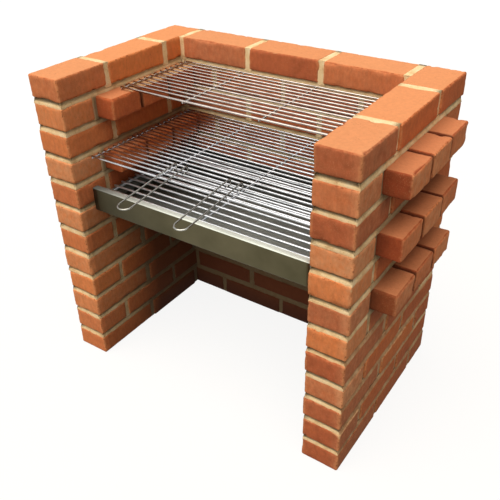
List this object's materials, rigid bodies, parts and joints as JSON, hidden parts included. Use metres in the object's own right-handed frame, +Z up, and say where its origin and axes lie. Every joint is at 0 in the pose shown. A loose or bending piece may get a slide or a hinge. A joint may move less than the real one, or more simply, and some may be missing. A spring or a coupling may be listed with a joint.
{
  "type": "brick barbecue",
  "caption": "Free-standing brick garden barbecue with crosswise brick ledges that carry a charcoal tray and grate, a cooking grill with hooked lifting handles and a warming rack.",
  "frame": {"origin": "centre of the whole object at the ground, between the fronts of the lifting handles and the back of the walls", "axes": "+X to the right seen from the front, +Y from the open front to the back wall, +Z up"},
  "size_m": [1.033, 0.675, 0.874],
  "materials": {
    "red_brick": "matt fired clay with sandy mortar joints",
    "red_ledge_brick": "matt fired clay",
    "tray_steel": "bright brushed sheet",
    "grate_steel": "bright wire",
    "bright_wire": "polished plated wire"
  },
  "bodies": {
    "brickwork": {"left_wall_course_01": "red_brick", "left_wall_course_02": "red_brick", "left_wall_course_03": "red_brick", "left_wall_course_04": "red_brick", "left_wall_course_05": "red_brick", "left_wall_course_06": "red_brick", "left_wall_course_07": "red_brick", "left_wall_course_08": "red_brick", "left_wall_course_09": "red_brick", "left_wall_course_10": "red_brick", "left_wall_course_11": "red_brick", "left_wall_course_12": "red_brick", "right_wall_course_01": "red_brick", "right_wall_course_02": "red_brick", "right_wall_course_03": "red_brick", "right_wall_course_04": "red_brick", "right_wall_course_05": "red_brick", "right_wall_course_06": "red_brick", "right_wall_course_07": "red_brick", "right_wall_course_08": "red_brick", "right_wall_course_09": "red_brick", "right_wall_course_10": "red_brick", "right_wall_course_11": "red_brick", "right_wall_course_12": "red_brick", "back_wall_course_01": "red_brick", "back_wall_course_02": "red_brick", "back_wall_course_03": "red_brick", "back_wall_course_04": "red_brick", "back_wall_course_05": "red_brick", "back_wall_course_06": "red_brick", "back_wall_course_07": "red_brick", "back_wall_course_08": "red_brick", "back_wall_course_09": "red_brick", "back_wall_course_10": "red_brick", "back_wall_course_11": "red_brick", "back_wall_course_12": "red_brick", "left_ledge_07_brick_front": "red_ledge_brick", "left_ledge_07_brick_middle": "red_ledge_brick", "left_ledge_07_brick_back": "red_ledge_brick", "left_ledge_09_brick_front": "red_ledge_brick", "left_ledge_09_brick_middle": "red_ledge_brick", "left_ledge_09_brick_back": "red_ledge_brick", "left_ledge_11_brick_front": "red_ledge_brick", "left_ledge_11_brick_middle": "red_ledge_brick", "left_ledge_11_brick_back": "red_ledge_brick", "right_ledge_07_brick_front": "red_ledge_brick", "right_ledge_07_brick_middle": "red_ledge_brick", "right_ledge_07_brick_back": "red_ledge_brick", "right_ledge_09_brick_front": "red_ledge_brick", "right_ledge_09_brick_middle": "red_ledge_brick", "right_ledge_09_brick_back": "red_ledge_brick", "right_ledge_11_brick_front": "red_ledge_brick", "right_ledge_11_brick_middle": "red_ledge_brick", "right_ledge_11_brick_back": "red_ledge_brick"},
    "tray": {"charcoal_tray": "tray_steel"},
    "grate": {"charcoal_grate": "grate_steel"},
    "grill": {"cooking_grill": "bright_wire"},
    "rack": {"warming_rack": "bright_wire"},
    "handle_left": {"lifting_handle_left": "bright_wire"},
    "handle_right": {"lifting_handle_right": "bright_wire"}
  },
  "joints": [
    {"name": "tray_slide", "type": "slide", "parent": "brickwork", "child": "tray", "axis": [0, -1, 0], "range_m": [0, 0.457]},
    {"name": "grate_lift", "type": "slide", "parent": "tray", "child": "grate", "axis": [0, 0, 1], "range_m": [0, 0.04]},
    {"name": "grill_slide", "type": "slide", "parent": "brickwork", "child": "grill", "axis": [0, -1, 0], "range_m": [0, 0.461]},
    {"name": "rack_lift", "type": "slide", "parent": "brickwork", "child": "rack", "axis": [0, 0, 1], "range_m": [0, 0.1]},
    {"name": "handle_left_swing", "type": "hinge", "parent": "grill", "child": "handle_left", "pos_m": [-0.084, -0.1183, 0.6588], "axis": [-1, 0, 0], "range_deg": [0, 85]},
    {"name": "handle_right_swing", "type": "hinge", "parent": "grill", "child": "handle_right", "pos_m": [0.084, -0.1183, 0.6588], "axis": [-1, 0, 0], "range_deg": [0, 85]}
  ]
}
